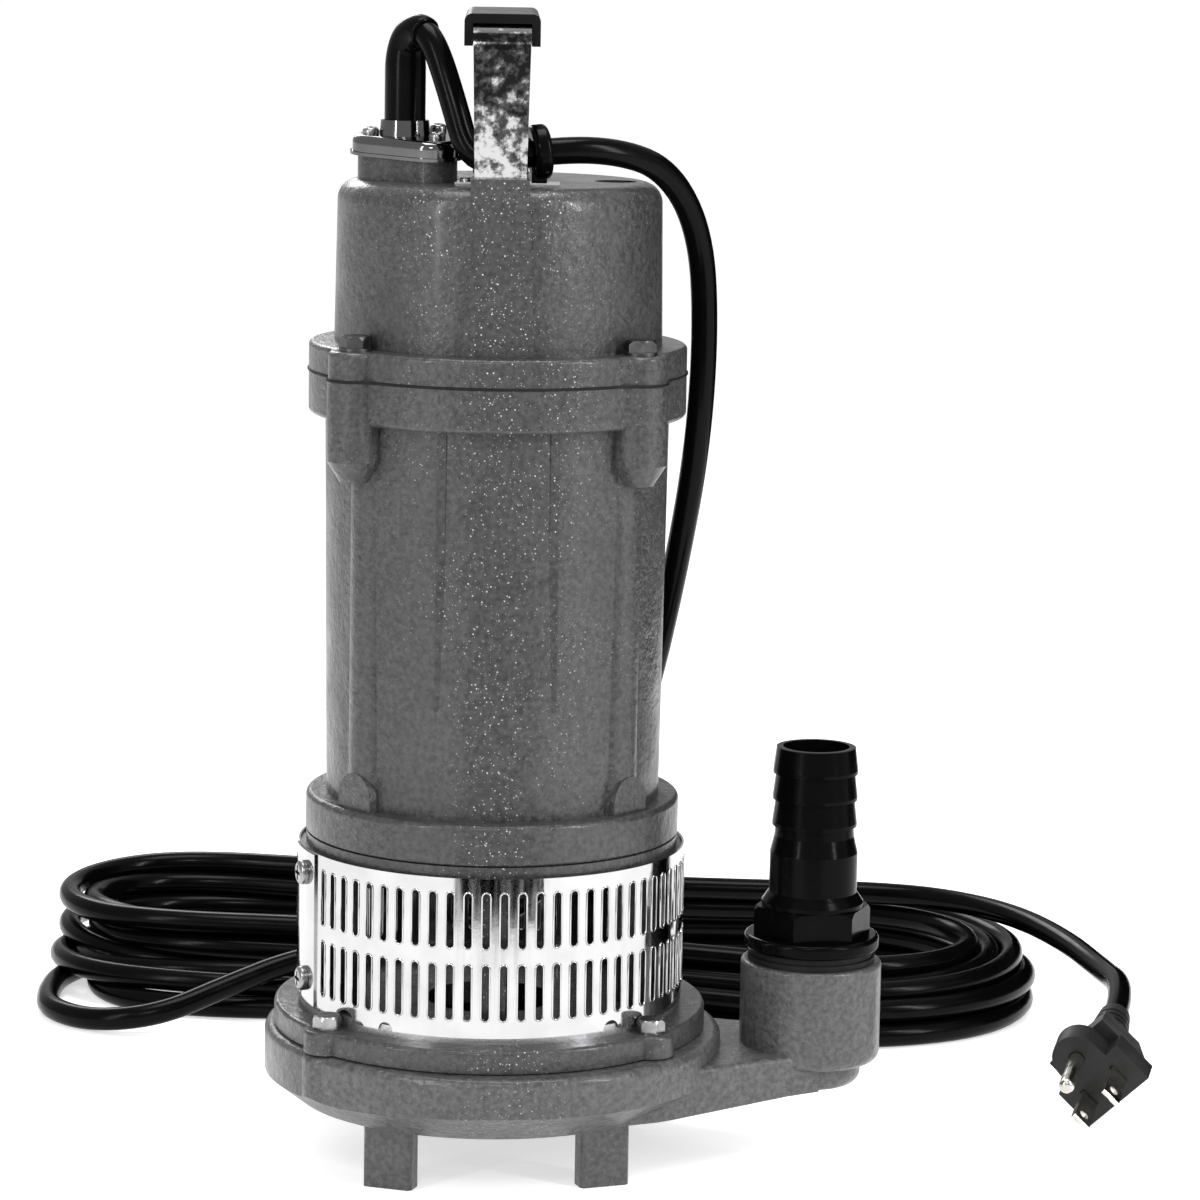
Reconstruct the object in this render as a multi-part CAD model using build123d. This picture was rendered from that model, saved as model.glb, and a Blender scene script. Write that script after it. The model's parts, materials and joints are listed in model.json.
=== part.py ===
from build123d import *
import math
import os

# Submersible sump pump. Millimetres, +Z up. The origin is on the motor axis, in the plane the feet
# stand on. The discharge points along +X and the carrying handle lies in the YZ plane.

# Levels above the floor
VOLUTE_BASE_Z = 19.5
ARM_TOP_Z = 34.5
VOLUTE_TOP_Z = 39.8
PLATE_LOW_Z = 40.2
PLATE_TOP_Z = 46.8
BAND_LOW_Z = 48.8
BAND_TOP_Z = 95.5
BRACKET_TOP_Z = 98.3
CASING_LOW_Z = 98.7
LOWER_FLANGE_TOP_Z = 110.4
UPPER_FLANGE_LOW_Z = 222.5
JOINT_Z = 235.2
COVER_FLANGE_TOP_Z = 243.5
COVER_TOP_Z = 290.5
HANDLE_PAD_Z = 293.6
GRIP_TOP_Z = 339.2

# Radii about the motor axis
VOLUTE_R = 67.0
PLATE_R = 64.2
PLATE_BOLT_R = 61.2
PLATE_LOBE_R = 6.9
FLANGE_R = 55.2
CASING_BOLT_R = 53.0
BARREL_LOW_R = 49.1
BARREL_TOP_R = 50.4
STATOR_R = 44.6
BAND_R = 57.2
COVER_R = 47.7

# Bolts stand in four places, this far round from the front and from the back
BOLT_TURN = 50.0
BOLT_ANGLES = [-90 - BOLT_TURN, -90 + BOLT_TURN, 90 - BOLT_TURN, 90 + BOLT_TURN]

# Outlet
OUTLET_X = 96.0
BOSS_R = 21.0
BOSS_TOP_Z = 59.8
THREAD_R = 16.4
OUTLET_BORE_R = 9.9
SPIGOT_R = 12.65
SPIGOT_TOP_Z = 124.3

# Gland and clamp
GLAND_X = -27.8
GLAND_Y = -5.0
GLAND_TILT = 5.0
NECK_TOP_Z = 307.6
CLAMP_Y = -26.0

# Cord
CORD_R = 3.85
SLEEVE_R = 5.75
SLEEVE_BORE_R = 4.15
COIL_TOP_Z = 33.5


def ring(outer, inner, low, high):
    tube = Pos(0, 0, low) * Cylinder(outer, high - low, align=(Align.CENTER, Align.CENTER, Align.MIN))
    hole = Pos(0, 0, low - 1) * Cylinder(inner, high - low + 2, align=(Align.CENTER, Align.CENTER, Align.MIN))
    return tube - hole


def post(radius, low, high, x=0.0, y=0.0):
    return Pos(x, y, low) * Cylinder(radius, high - low, align=(Align.CENTER, Align.CENTER, Align.MIN))


def cone(low_r, high_r, low, high):
    return Pos(0, 0, low) * Cone(low_r, high_r, high - low, align=(Align.CENTER, Align.CENTER, Align.MIN))


def block(x0, x1, y0, y1, z0, z1):
    size = (x1 - x0, y1 - y0, z1 - z0)
    return Pos(x0, y0, z0) * Box(*size, align=(Align.MIN, Align.MIN, Align.MIN))


def polar(radius, degrees):
    turn = math.radians(degrees)
    return radius * math.cos(turn), radius * math.sin(turn)


def turned(shape, degrees):
    return Rot(0, 0, degrees) * shape


def joined(shapes):
    total = shapes[0]
    for shape in shapes[1:]:
        total = total + shape
    return total


def group(shapes):
    return Compound(children=list(shapes))


def prism(sketch, low, high):
    return Pos(0, 0, low) * extrude(sketch, amount=high - low)


def revolved(points):
    face = make_face(Polyline(*[(r, 0, z) for r, z in points], close=True))
    return revolve(face, Axis.Z)


def edges_at(shape, level, reach=0.05):
    return [e for e in shape.edges() if abs(e.bounding_box().min.Z - level) < reach
            and abs(e.bounding_box().max.Z - level) < reach]


def softened(shape, level, radius):
    return fillet(edges_at(shape, level), radius)


def lobed(radius, lobe_at, lobe_r, angles=BOLT_ANGLES):
    outline = Circle(radius)
    for angle in angles:
        outline += Pos(*polar(lobe_at, angle)) * Circle(lobe_r)
    return outline


def hex_bolt(across, head, washer_r, washer, shank_r, length):
    # Head and washer above z = 0, shank below it
    body = Pos(0, 0, washer) * extrude(RegularPolygon(across / 2, 6, major_radius=False), amount=head)
    body = body & Pos(0, 0, washer) * Cone(across * 0.72, across * 0.50, head, align=(
        Align.CENTER, Align.CENTER, Align.MIN))
    disc = Cylinder(washer_r, washer, align=(Align.CENTER, Align.CENTER, Align.MIN))
    shank = Pos(0, 0, -length) * Cylinder(shank_r, length, align=(Align.CENTER, Align.CENTER, Align.MIN))
    return body + disc + shank


def pan_screw(head_r, head, shank_r, length):
    top = Cylinder(head_r, head, align=(Align.CENTER, Align.CENTER, Align.MIN))
    top = fillet(top.edges().group_by(Axis.Z)[-1], head * 0.6)
    slot_wide = head_r * 1.2
    slot_thin = head_r * 0.28
    slot = Pos(0, 0, head) * (Box(slot_wide, slot_thin, head) + Box(slot_thin, slot_wide, head))
    shank = Pos(0, 0, -length) * Cylinder(shank_r, length, align=(Align.CENTER, Align.CENTER, Align.MIN))
    return top - slot + shank


# ---------------------------------------------------------------- volute and feet

FOOT_R = 49.0
FOOT_ANGLES = [-125.0, -47.0, 47.0, 125.0]
FOOT_WIDE = 15.0
FOOT_THICK = 7.0
CHAMBER_R = 54.0
CHAMBER_LOW_Z = 23.0


def volute_outline():
    # The scroll grows a little towards the front and the outlet
    body = Circle(VOLUTE_R) + Pos(3.0, -4.0) * Circle(VOLUTE_R - 1.0)
    for angle in BOLT_ANGLES:
        body += Pos(*polar(PLATE_BOLT_R, angle)) * Circle(PLATE_LOBE_R + 0.4)
    return body


def outlet_arm():
    # The arm runs off the front of the volute and closes in on the outlet boss
    plan = make_face(Polyline((24.0, -52.0), (53.5, -39.5), (88.5, -20.5), (98.0, -17.0), (98.0, 17.0),
                              (44.0, 34.0), (24.0, 10.0), close=True))
    arm = prism(plan, VOLUTE_BASE_Z + 0.6, ARM_TOP_Z)
    lift = Pos(40, 0, VOLUTE_BASE_Z) * Rot(0, -3.6, 0) * Pos(0, -100, -20) * Box(
        120, 200, 20, align=(Align.MIN, Align.MIN, Align.MIN))
    arm = arm - lift
    return softened(arm, ARM_TOP_Z, 1.8)


def outlet_boss():
    upper = post(BOSS_R, 29.5, BOSS_TOP_Z, OUTLET_X)
    upper = softened(upper, BOSS_TOP_Z, 1.2)
    upper = softened(upper, 29.5, 3.0)
    elbow = post(16.5, 22.4, 32.0, OUTLET_X - 1.0)
    return upper + softened(elbow, 22.4, 4.0)


def foot(angle):
    x, y = polar(FOOT_R, angle)
    facing = math.degrees(math.atan2(y, abs(y) * 0.35 * (1 if x > 0 else -1)))
    leg = Box(FOOT_THICK, FOOT_WIDE, VOLUTE_BASE_Z + 6.0, align=(Align.CENTER, Align.CENTER, Align.MIN))
    leg = fillet(leg.edges().filter_by(Axis.Z), 1.5)
    return Pos(x, y, 0) * Rot(0, 0, facing) * leg


def volute_casing():
    body = prism(volute_outline(), VOLUTE_BASE_Z, VOLUTE_TOP_Z)
    dish = cone(VOLUTE_R - 8.5, VOLUTE_R + 3.0, VOLUTE_BASE_Z, VOLUTE_BASE_Z + 9.0)
    dish += post(VOLUTE_R + 12, VOLUTE_BASE_Z + 9.0, VOLUTE_TOP_Z)
    body = body & dish
    body = softened(body, VOLUTE_TOP_Z, 2.2)
    casing = body + outlet_arm() + outlet_boss()
    for angle in FOOT_ANGLES:
        casing += foot(angle)
    chamber = post(CHAMBER_R, CHAMBER_LOW_Z, VOLUTE_TOP_Z + 1)
    casing -= chamber
    casing -= block(30.0, OUTLET_X, -14.0, 6.0, 24.0, 32.0)
    casing -= post(OUTLET_BORE_R, 25.0, BOSS_TOP_Z + 1, OUTLET_X)
    casing -= post(THREAD_R + 0.15, 41.0, BOSS_TOP_Z + 1, OUTLET_X)
    for angle in BOLT_ANGLES:
        x, y = polar(PLATE_BOLT_R, angle)
        casing -= post(2.6, VOLUTE_TOP_Z - 14.0, VOLUTE_TOP_Z + 1, x, y)
    return casing


def volute_gasket():
    outline = lobed(PLATE_R - 1.0, PLATE_BOLT_R, PLATE_LOBE_R - 1.0) - Circle(CHAMBER_R + 0.5)
    for angle in BOLT_ANGLES:
        outline -= Pos(*polar(PLATE_BOLT_R, angle)) * Circle(2.9)
    return prism(outline, VOLUTE_TOP_Z, PLATE_LOW_Z)


# ---------------------------------------------------------------- inlet bracket and strainer

EYE_R = 19.0
SEAL_BORE_R = 13.2
CHAMBER_HUB_R = 24.0
SEAT_LOW_Z = 86.0
BRACKET_BOLT_R = 46.5


COLUMN_LOW_Z = PLATE_TOP_Z
SEAT_RING_INNER_R = 54.5
SEAT_RING_TOP_Z = 50.2


def inlet_plate():
    # Suction plate over the volute, with the pump's eye in its middle
    plate = prism(lobed(PLATE_R, PLATE_BOLT_R, PLATE_LOBE_R), PLATE_LOW_Z, PLATE_TOP_Z)
    plate = softened(plate, PLATE_TOP_Z, 1.2)
    plate -= post(EYE_R, PLATE_LOW_Z - 1, PLATE_TOP_Z + 5)
    for angle in BOLT_ANGLES:
        x, y = polar(PLATE_BOLT_R, angle)
        plate -= post(2.8, PLATE_LOW_Z - 1, PLATE_TOP_Z + 1, x, y)
    return plate


def strainer_seat_ring():
    # Ring that the band's lower edge is drawn tight round
    return ring(BAND_R - BAND_THICK - 0.1, SEAT_RING_INNER_R, PLATE_TOP_Z, SEAT_RING_TOP_Z)


def seal_housing():
    # Ring under the motor casing, with the hub that holds the shaft seal
    seat = ring(BAND_R - BAND_THICK - 0.1, 52.0, 92.5, BAND_TOP_Z - 0.8)
    top = revolved([(SEAL_BORE_R + 4.5, 82.0), (CHAMBER_HUB_R, 82.0), (CHAMBER_HUB_R + 2, 86.0),
                    (50.0, 88.5), (FLANGE_R - 0.2, 92.5), (FLANGE_R - 0.2, BRACKET_TOP_Z),
                    (SEAL_BORE_R + 4.5, BRACKET_TOP_Z)])
    hub = revolved([(7.0, 82.0), (CHAMBER_HUB_R, 82.0), (CHAMBER_HUB_R, BRACKET_TOP_Z), (7.0, BRACKET_TOP_Z)])
    housing = joined([seat, top, hub])
    housing -= post(SEAL_BORE_R, SEAT_LOW_Z, BRACKET_TOP_Z + 1)
    housing -= post(30.0, 92.5, BRACKET_TOP_Z + 1) - post(SEAL_BORE_R + 4.0, 92.0, BRACKET_TOP_Z + 2)
    for angle in BOLT_ANGLES:
        x, y = polar(BRACKET_BOLT_R, angle)
        housing -= post(2.8, 80.0, BRACKET_TOP_Z + 1, x, y)
        housing -= post(5.2, 80.0, 91.5, x, y)
    return housing


def bracket_columns():
    # Four columns that stand on the suction plate and carry the housing
    housing = seal_housing()
    columns = []
    for quarter in range(0, 360, 90):
        column = turned(block(38.0, 52.0, -4.6, 4.6, COLUMN_LOW_Z, 90.0), quarter)
        columns.append(column - housing)
    return group(columns)


def plate_bolts():
    # One flat of each head faces the band
    bolt = hex_bolt(7.4, 3.6, 3.6, 0.4, 2.5, 18.0)
    return group([Pos(*polar(PLATE_BOLT_R, a), PLATE_TOP_Z) * Rot(0, 0, a + 30) * bolt for a in BOLT_ANGLES])


def bracket_screws():
    screw = Pos(0, 0, 91.5) * Rot(180, 0, 0) * hex_bolt(7.0, 3.4, 4.4, 0.8, 2.4, 22.0)
    return group([Pos(*polar(BRACKET_BOLT_R, a), 0) * screw for a in BOLT_ANGLES])


BAND_THICK = 0.6
SLOT_PITCH = 5.2
SLOT_FIRST = -58.4
SLOT_COUNT = 58
SLOT_WIDE = 2.5
SLOT_ROWS = [(53.8, 70.5), (74.9, 91.5)]
LAP_SCREW_TURN = -70.5
LAP_SCREW_Z = [56.7, 88.5]
BAND_CUTS = [(-47.0, 3.4), (-31.5, 2.4), (38.0, 2.8), (135.0, 3.0)]


def slot_tool(turn, low, high):
    # A round-ended slot, turned this far round from the front
    radius = SLOT_WIDE / 2
    bar = block(-radius, radius, -70, -50, low + radius, high - radius)
    for level in (low + radius, high - radius):
        bar += Pos(0, -60, level) * Rot(90, 0, 0) * Cylinder(radius, 20)
    return turned(bar, turn)


def strainer_band():
    band = ring(BAND_R, BAND_R - BAND_THICK, BAND_LOW_Z, BAND_TOP_Z)
    tools = [slot_tool(SLOT_FIRST + SLOT_PITCH * i, low, high) for i in range(SLOT_COUNT) for low, high in SLOT_ROWS]
    for turn, radius in BAND_CUTS:
        tools.append(turned(Pos(0, -57, BAND_LOW_Z) * Rot(90, 0, 0) * Cylinder(radius, 12), turn))
    for level in LAP_SCREW_Z:
        tools.append(turned(Pos(0, -57, level) * Rot(90, 0, 0) * Cylinder(1.8, 12), LAP_SCREW_TURN))
    return band.cut(*tools)


def sector(outer, inner, low, high, start, end):
    # A piece of a ring between two angles from the front
    reach = outer * 1.4
    points = [(0, 0)]
    steps = 4
    for i in range(steps + 1):
        points.append(polar(reach, -90 + start + (end - start) * i / steps))
    wedge = prism(make_face(Polyline(*points, close=True)), low, high)
    return ring(outer, inner, low, high) & wedge


def strainer_lap():
    # The free end of the band lies over the other end, with a bite out of its edge between the screws
    leaf = sector(BAND_R + BAND_THICK + 0.02, BAND_R + 0.02, BAND_LOW_Z + 0.6, BAND_TOP_Z - 0.4, -84.0, -63.0)
    bite = turned(Pos(0, -57, 67.3) * Rot(90, 0, 0) * Cylinder(6.2, 12), -86.0)
    leaf = leaf - bite
    for level in LAP_SCREW_Z:
        leaf = leaf - turned(Pos(0, -57, level) * Rot(90, 0, 0) * Cylinder(1.8, 12), LAP_SCREW_TURN)
    return leaf


def strainer_screws():
    screw = Pos(0, -(BAND_R + BAND_THICK + 0.05), 0) * Rot(90, 0, 0) * pan_screw(3.6, 2.3, 1.7, 5.6)
    return group([turned(Pos(0, 0, level) * screw, LAP_SCREW_TURN) for level in LAP_SCREW_Z])


def strainer_nut_strip():
    # A strip behind the lap that the two screws bite into
    strip = sector(BAND_R - BAND_THICK - 0.02, BAND_R - BAND_THICK - 2.4, BAND_LOW_Z + 3.6, BAND_TOP_Z - 5.0,
                   LAP_SCREW_TURN - 5, LAP_SCREW_TURN + 5)
    for level in LAP_SCREW_Z:
        strip = strip - turned(Pos(0, -56, level) * Rot(90, 0, 0) * Cylinder(1.75, 12), LAP_SCREW_TURN)
    return strip


# ---------------------------------------------------------------- motor casing and cover

COLUMN_R = 8.5
COLUMN_AT = 43.4
LUG_FACE_R = 52.1
LUG_WIDE = 14.5
LUG_TOP_Z = 121.0
BOLT_BOSS_R = 8.0
BEARING_R = 16.0
LOWER_BEARING_Z = 112.0
UPPER_BEARING_Z = 216.0
BEARING_THICK = 10.0


def foot_lug(angle):
    radius = LUG_WIDE / 2
    arch_z = LUG_TOP_Z - radius
    profile = block(40.0, LUG_FACE_R, -radius, radius, LOWER_FLANGE_TOP_Z - 1, arch_z)
    profile += Pos(46.0, 0, arch_z) * Rot(0, 90, 0) * Cylinder(radius, 12.2)
    return turned(profile, angle)


def bolt_boss(angle):
    # The boss under the upper flange, drawn in towards the barrel at its foot
    x, y = polar(CASING_BOLT_R, angle)
    boss = post(BOLT_BOSS_R, 212.0, JOINT_Z, x, y)
    tip = Pos(x, y, 206.0) * Cone(4.2, BOLT_BOSS_R, 6.0, align=(Align.CENTER, Align.CENTER, Align.MIN))
    return boss + tip


PANEL_RIB_PROUD = 0.8
PANEL_RIB_THICK = 4.0


def panel_rib(x):
    # A low rib that fades into the barrel on its way down
    face = math.sqrt(BARREL_TOP_R ** 2 - x ** 2) + PANEL_RIB_PROUD
    rib = Pos(x, PANEL_RIB_THICK / 2 - face, 224.0) * Rot(1.2, 0, 0) * Box(
        2.6, PANEL_RIB_THICK, 82.0, align=(Align.CENTER, Align.CENTER, Align.MAX))
    return rib


def motor_casing():
    barrel = cone(BARREL_LOW_R, BARREL_TOP_R, CASING_LOW_Z, JOINT_Z)
    flange = softened(post(FLANGE_R, CASING_LOW_Z, LOWER_FLANGE_TOP_Z), LOWER_FLANGE_TOP_Z, 1.6)
    flange = softened(flange, CASING_LOW_Z, 0.6)
    collar = prism(lobed(FLANGE_R, CASING_BOLT_R, BOLT_BOSS_R), UPPER_FLANGE_LOW_Z, JOINT_Z)
    collar = softened(collar, UPPER_FLANGE_LOW_Z, 1.6)
    casing = joined([barrel, flange, collar])
    for angle in BOLT_ANGLES:
        x, y = polar(COLUMN_AT, angle)
        casing += post(COLUMN_R, LOWER_FLANGE_TOP_Z - 1, UPPER_FLANGE_LOW_Z + 1, x, y)
        casing += foot_lug(angle)
        casing += bolt_boss(angle)
    for x in (-15.6, 16.6):
        casing += panel_rib(x)
    casing -= post(STATOR_R + 0.05, 124.0, JOINT_Z + 1)
    casing -= post(38.0, 114.0, 125.0) - post(BEARING_R + 4.0, 113.0, 126.0)
    casing -= post(30.0, CASING_LOW_Z - 1, 103.0)
    casing -= post(BEARING_R, LOWER_BEARING_Z, 126.0)
    casing -= post(10.0, 100.0, 126.0)
    for angle in BOLT_ANGLES:
        x, y = polar(CASING_BOLT_R, angle)
        casing -= post(2.5, 214.0, JOINT_Z + 1, x, y)
        x, y = polar(BRACKET_BOLT_R, angle)
        casing -= post(2.5, CASING_LOW_Z - 1, 114.6, x, y)
    return casing


def casing_gasket():
    return ring(FLANGE_R - 0.9, 31.0, BRACKET_TOP_Z, CASING_LOW_Z) - group(
        [post(2.8, 90, 110, *polar(BRACKET_BOLT_R, a)) for a in BOLT_ANGLES])


ORING_AT = 46.9
ORING_R = 1.1


def cover_oring():
    return Pos(0, 0, JOINT_Z + ORING_R + 0.05) * Torus(ORING_AT, ORING_R)


RIB_TOP_HALF = 8.2
RIB_LOW_HALF = 10.2
RIB_FACE_Y = 49.8
RIB_DEPTH = 18.2
PLUG_X = 33.5
GLAND_BOSS_X = -24.5
GLAND_CORNER_AT = 9.8


def gland_outline(corner_r):
    # A rounded triangle with one corner to the left and two to the right
    corners = [Pos(*polar(GLAND_CORNER_AT, a)) * Circle(corner_r) for a in (180, -60, 60)]
    inner = make_face(Polyline(*[polar(GLAND_CORNER_AT, a) for a in (180, -60, 60)], close=True))
    hull = corners[0] + corners[1] + corners[2] + inner
    for a in (0, 120, 240):
        side = Pos(*polar(GLAND_CORNER_AT / 4 + corner_r / 2, a)) * Rot(0, 0, a) * Rectangle(
            GLAND_CORNER_AT / 2 + corner_r, GLAND_CORNER_AT * math.sqrt(3))
        hull += side
    return Pos(GLAND_BOSS_X, GLAND_Y) * hull


def tilt(shape, level):
    # Tips a piece of the gland forward about the boss
    return Pos(0, GLAND_Y, level) * Rot(GLAND_TILT, 0, 0) * Pos(0, -GLAND_Y, -level) * shape


GLAND_SEAT_Z = 297.6


def handle_rib(front):
    side = -1 if front else 1
    face = make_face(Polyline((-RIB_LOW_HALF, 0, COVER_FLANGE_TOP_Z - 2), (RIB_LOW_HALF, 0, COVER_FLANGE_TOP_Z - 2),
                              (RIB_TOP_HALF, 0, HANDLE_PAD_Z), (-RIB_TOP_HALF, 0, HANDLE_PAD_Z), close=True))
    rib = Pos(0, -RIB_FACE_Y, 0) * extrude(face, amount=RIB_DEPTH, dir=(0, 1, 0))
    rib = fillet(rib.edges().filter_by(Axis.Y).group_by(Axis.Z)[-1], 1.2)
    if front:
        return rib
    return Rot(0, 0, 180) * rib


def top_cover():
    flange = prism(lobed(FLANGE_R, CASING_BOLT_R, BOLT_BOSS_R - 0.3), JOINT_Z, COVER_FLANGE_TOP_Z)
    flange = softened(flange, COVER_FLANGE_TOP_Z, 1.4)
    dome = cone(COVER_R + 0.3, COVER_R - 0.6, JOINT_Z, COVER_TOP_Z)
    dome = fillet(dome.edges().group_by(Axis.Z)[-1], 6.0)
    cover = flange + dome + handle_rib(True) + handle_rib(False)
    boss = prism(gland_outline(7.0), 280.0, 302.0)
    boss = boss & (post(COVER_R - 0.7, 200, 310))
    cutter = tilt(block(-80, 40, -60, 50, GLAND_SEAT_Z, GLAND_SEAT_Z + 20), GLAND_SEAT_Z)
    cover += boss - cutter
    cover += post(9.0, 282.0, COVER_TOP_Z, PLUG_X)
    inside = cone(COVER_R - 4.2, COVER_R - 5.0, JOINT_Z - 1, COVER_TOP_Z - 5.0)
    cover -= fillet(inside.edges().group_by(Axis.Z)[-1], 3.0)
    groove = ring(ORING_AT + 1.4, ORING_AT - 1.4, JOINT_Z - 1, JOINT_Z + 2.4)
    cover -= groove
    cover -= post(6.3, 270.0, 310.0, GLAND_X, GLAND_Y)
    cover -= post(6.15, 270.0, 310.0, PLUG_X)
    for angle in BOLT_ANGLES:
        x, y = polar(CASING_BOLT_R, angle)
        cover -= post(2.8, JOINT_Z - 1, COVER_FLANGE_TOP_Z + 1, x, y)
    for side in (-1, 1):
        cover -= post(2.05, 280.0, HANDLE_PAD_Z + 1, 0, side * HANDLE_SCREW_Y)
    for x, y in GLAND_SCREWS:
        cover -= tilt(post(1.55, GLAND_SEAT_Z - 8.2, GLAND_SEAT_Z + 8, x, y), GLAND_SEAT_Z)
    for x in CLAMP_SCREWS:
        cover -= post(1.55, COVER_TOP_Z - 4.5, COVER_TOP_Z + 1, x, CLAMP_SCREW_Y)
    return cover


def casing_bolts():
    bolt = hex_bolt(8.0, 3.4, 4.7, 0.9, 2.45, 26.0)
    return group([Pos(*polar(CASING_BOLT_R, a), COVER_FLANGE_TOP_Z) * Rot(0, 0, a + 20) * bolt
                  for a in BOLT_ANGLES])


def oil_plug():
    body = post(6.0, COVER_TOP_Z - 8.0, COVER_TOP_Z - 1.4, PLUG_X)
    socket = Pos(PLUG_X, 0, COVER_TOP_Z - 5.0) * extrude(RegularPolygon(2.6, 6, major_radius=False), amount=6)
    return body - socket


# ---------------------------------------------------------------- gland, handle and clamp

GLAND_SCREWS = [(-37.6, -5.0), (-18.3, -13.8), (-18.3, 3.8)]
GLAND_SHEET = 1.4
GLAND_CAP_Z = GLAND_SEAT_Z + 6.0


def gland_cap():
    rim = prism(gland_outline(9.3), GLAND_SEAT_Z + 0.4, GLAND_SEAT_Z + 1.3)
    shell = softened(prism(gland_outline(8.6), GLAND_SEAT_Z + 0.4, GLAND_CAP_Z), GLAND_CAP_Z, 2.4)
    neck_low = GLAND_CAP_Z - 3.0
    neck = Pos(GLAND_X, GLAND_Y, neck_low) * Cone(7.6, 7.0, NECK_TOP_Z - neck_low, align=(
        Align.CENTER, Align.CENTER, Align.MIN))
    inside = prism(gland_outline(8.6 - GLAND_SHEET), GLAND_SEAT_Z - 1, GLAND_CAP_Z - GLAND_SHEET)
    cap = tilt(shell + rim, GLAND_SEAT_Z) + neck - tilt(inside, GLAND_SEAT_Z)
    cap -= post(6.3, GLAND_SEAT_Z + 1.5, NECK_TOP_Z + 1, GLAND_X, GLAND_Y)
    for x, y in GLAND_SCREWS:
        cap -= tilt(post(1.8, GLAND_SEAT_Z, GLAND_CAP_Z + 2, x, y), GLAND_SEAT_Z)
    return cap


def gland_bush():
    # The rubber bush that the cap squeezes round the cord, filling the boss's bore
    bush = post(6.2, 281.0, 303.0, GLAND_X, GLAND_Y)
    collar = tilt(prism(gland_outline(6.9), GLAND_SEAT_Z + 0.1, GLAND_CAP_Z - GLAND_SHEET - 0.1), GLAND_SEAT_Z)
    for x, y in GLAND_SCREWS:
        collar -= tilt(post(2.0, GLAND_SEAT_Z - 1, GLAND_CAP_Z + 2, x, y), GLAND_SEAT_Z)
    return bush + (collar - post(30, 303.0, 320.0, GLAND_X, GLAND_Y))


def gland_screws():
    screw = pan_screw(2.4, 1.8, 1.5, 12.0)
    return group([tilt(Pos(x, y, GLAND_CAP_Z) * screw, GLAND_SEAT_Z) for x, y in GLAND_SCREWS])


STRAP_Y = 45.4
STRAP_THICK = 2.6
STRAP_TOP_Z = 336.4
STRAP_TOP_HALF = 8.2
STRAP_LOW_HALF = 7.3
STRAP_FOOT_Y = 33.4
HANDLE_SCREW_Y = 37.6
STRAP_BEND = 7.0


def handle_strap():
    t = STRAP_THICK
    points = [(-STRAP_FOOT_Y, HANDLE_PAD_Z), (-STRAP_Y, HANDLE_PAD_Z), (-STRAP_Y, STRAP_TOP_Z),
              (STRAP_Y, STRAP_TOP_Z), (STRAP_Y, HANDLE_PAD_Z), (STRAP_FOOT_Y, HANDLE_PAD_Z),
              (STRAP_FOOT_Y, HANDLE_PAD_Z + t), (STRAP_Y - t, HANDLE_PAD_Z + t), (STRAP_Y - t, STRAP_TOP_Z - t),
              (-STRAP_Y + t, STRAP_TOP_Z - t), (-STRAP_Y + t, HANDLE_PAD_Z + t), (-STRAP_FOOT_Y, HANDLE_PAD_Z + t)]
    face = make_face(Polyline(*[(0, y, z) for y, z in points], close=True))
    strap = Pos(-12, 0, 0) * extrude(face, amount=24, dir=(1, 0, 0))
    corners = strap.edges().filter_by(Axis.X)
    outside = [e for e in corners if abs(abs(e.center().Y) - STRAP_Y) < 0.1 and e.center().Z > 330]
    strap = fillet(outside, STRAP_BEND)
    inside = [e for e in strap.edges().filter_by(Axis.X)
              if abs(abs(e.center().Y) - STRAP_Y + t) < 0.1 and 330 < e.center().Z < STRAP_TOP_Z - t + 0.1]
    strap = fillet(inside, STRAP_BEND - t)
    plan = make_face(Polyline((-STRAP_LOW_HALF, 0, HANDLE_PAD_Z - 1), (STRAP_LOW_HALF, 0, HANDLE_PAD_Z - 1),
                              (STRAP_TOP_HALF, 0, STRAP_TOP_Z + 1), (-STRAP_TOP_HALF, 0, STRAP_TOP_Z + 1),
                              close=True))
    taper = Pos(0, -60, 0) * extrude(plan, amount=120, dir=(0, 1, 0))
    strap = strap & taper
    for side in (-1, 1):
        strap -= post(2.3, HANDLE_PAD_Z - 1, HANDLE_PAD_Z + t + 1, 0, side * HANDLE_SCREW_Y)
    return strap


GRIP_HALF = 10.7
GRIP_Y = 40.5


def handle_grip():
    grip = block(-GRIP_HALF, GRIP_HALF, -GRIP_Y, GRIP_Y, 330.2, GRIP_TOP_Z)
    grip = fillet(grip.edges().filter_by(Axis.Y).group_by(Axis.Z)[-1], 2.2)
    channel = block(-STRAP_TOP_HALF - 0.1, STRAP_TOP_HALF + 0.1, -50, 50, 329.0, STRAP_TOP_Z + 0.1)
    return grip - channel


def handle_screws():
    screw = hex_bolt(6.4, 2.6, 3.5, 0.5, 2.0, 11.0)
    return group([Pos(0, side * HANDLE_SCREW_Y, HANDLE_PAD_Z + STRAP_THICK) * screw for side in (-1, 1)])


CLAMP_X = 11.0
CLAMP_RING_R = 7.9
CLAMP_LONG = 5.2
STRIP_THICK = 1.0
CLAMP_SCREW_Y = -23.4
CLAMP_SCREWS = [-9.5, 2.0]


def clamp_plate():
    # A stainless strip on the cover that holds the clamp down, with its two ends showing beside the handle
    strip = block(-13.0, 16.8, CLAMP_Y - 4.4, CLAMP_Y + 4.4, COVER_TOP_Z, COVER_TOP_Z + STRIP_THICK)
    for x in CLAMP_SCREWS:
        strip -= post(1.7, COVER_TOP_Z - 1, COVER_TOP_Z + 2, x, CLAMP_SCREW_Y)
    return strip


def clamp_screws():
    screw = pan_screw(2.2, 0.9, 1.5, 4.4)
    return group([Pos(x, CLAMP_SCREW_Y, COVER_TOP_Z + STRIP_THICK) * screw for x in CLAMP_SCREWS])


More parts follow.
